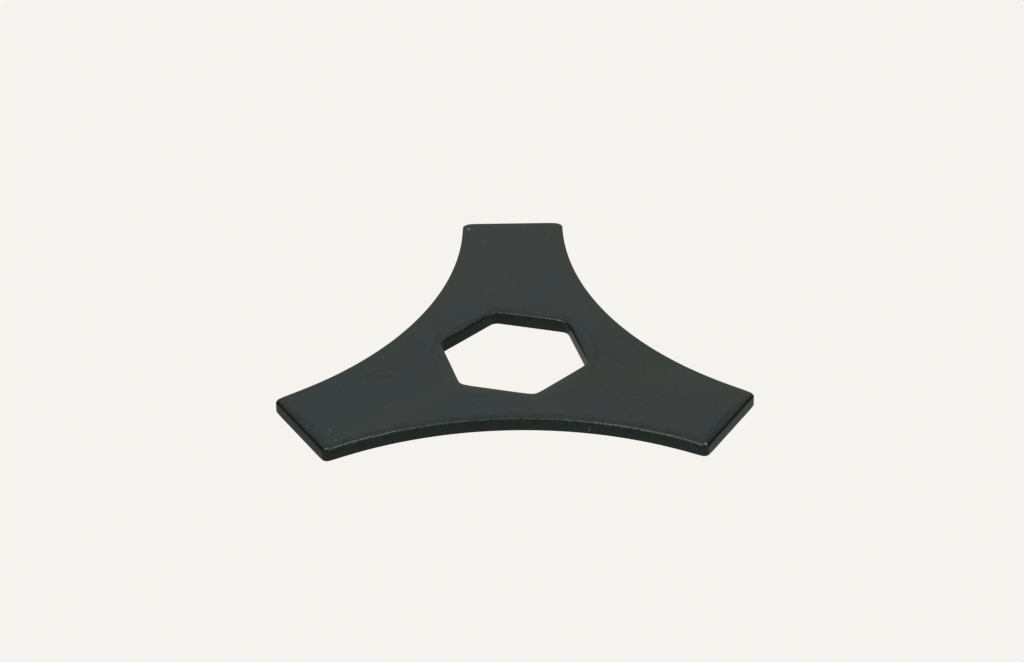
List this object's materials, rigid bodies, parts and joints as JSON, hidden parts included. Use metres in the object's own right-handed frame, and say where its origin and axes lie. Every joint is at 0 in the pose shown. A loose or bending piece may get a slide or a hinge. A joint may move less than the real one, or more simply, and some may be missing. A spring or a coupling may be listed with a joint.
{
  "type": "lock plate",
  "caption": "Flat blanked steel lock plate with splayed arms, hollow curved sides and a hexagonal hole that holds a nut or bolt head against turning.",
  "frame": {"origin": "on the axis of the hexagonal hole, in the middle of the sheet", "axes": "+Z along the hole's axis, out of the face whose edges are rolled over; +Y along one arm, towards its end face"},
  "size_m": [0.1078, 0.0936, 0.0032],
  "materials": {
    "coated_steel": "thin black coating with a satin sheen on blanked steel sheet"
  },
  "bodies": {
    "root": {"lock_plate": "coated_steel"}
  },
  "joints": []
}
